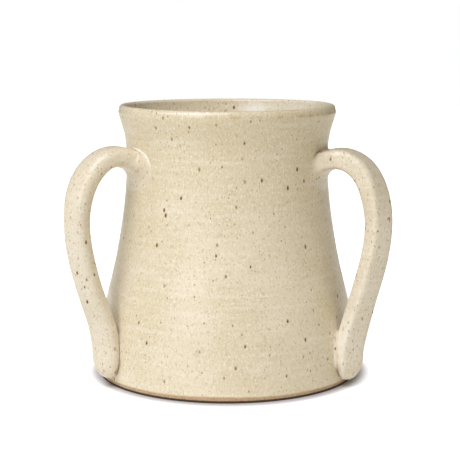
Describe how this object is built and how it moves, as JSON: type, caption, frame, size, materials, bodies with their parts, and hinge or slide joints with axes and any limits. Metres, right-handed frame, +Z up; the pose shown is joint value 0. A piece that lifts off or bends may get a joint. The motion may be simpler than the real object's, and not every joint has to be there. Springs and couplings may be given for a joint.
{
  "type": "two-handled ritual hand-washing cup",
  "caption": "Stoneware hand-washing cup with a flared rim, narrow neck and wide foot, and a pulled strap handle luted to each side.",
  "frame": {"origin": "the cup's turning axis, in the plane that the foot stands on", "axes": "+Z up along the turning axis; +X from the left handle towards the right handle; -Y is the front, towards which both handles lean a little"},
  "size_m": [0.1482, 0.1222, 0.127],
  "materials": {
    "vessel_glaze": "satin cream glaze with brown iron specks, bare tan clay at the foot",
    "handle_glaze": "satin cream glaze with brown iron specks",
    "joint_glaze": "satin cream glaze pooled a little in the fillets"
  },
  "bodies": {
    "root": {"thrown_vessel": "vessel_glaze", "left_handle": "handle_glaze", "right_handle": "handle_glaze", "left_upper_joint_clay": "joint_glaze", "left_lower_joint_clay": "joint_glaze", "right_upper_joint_clay": "joint_glaze", "right_lower_joint_clay": "joint_glaze"}
  },
  "joints": []
}
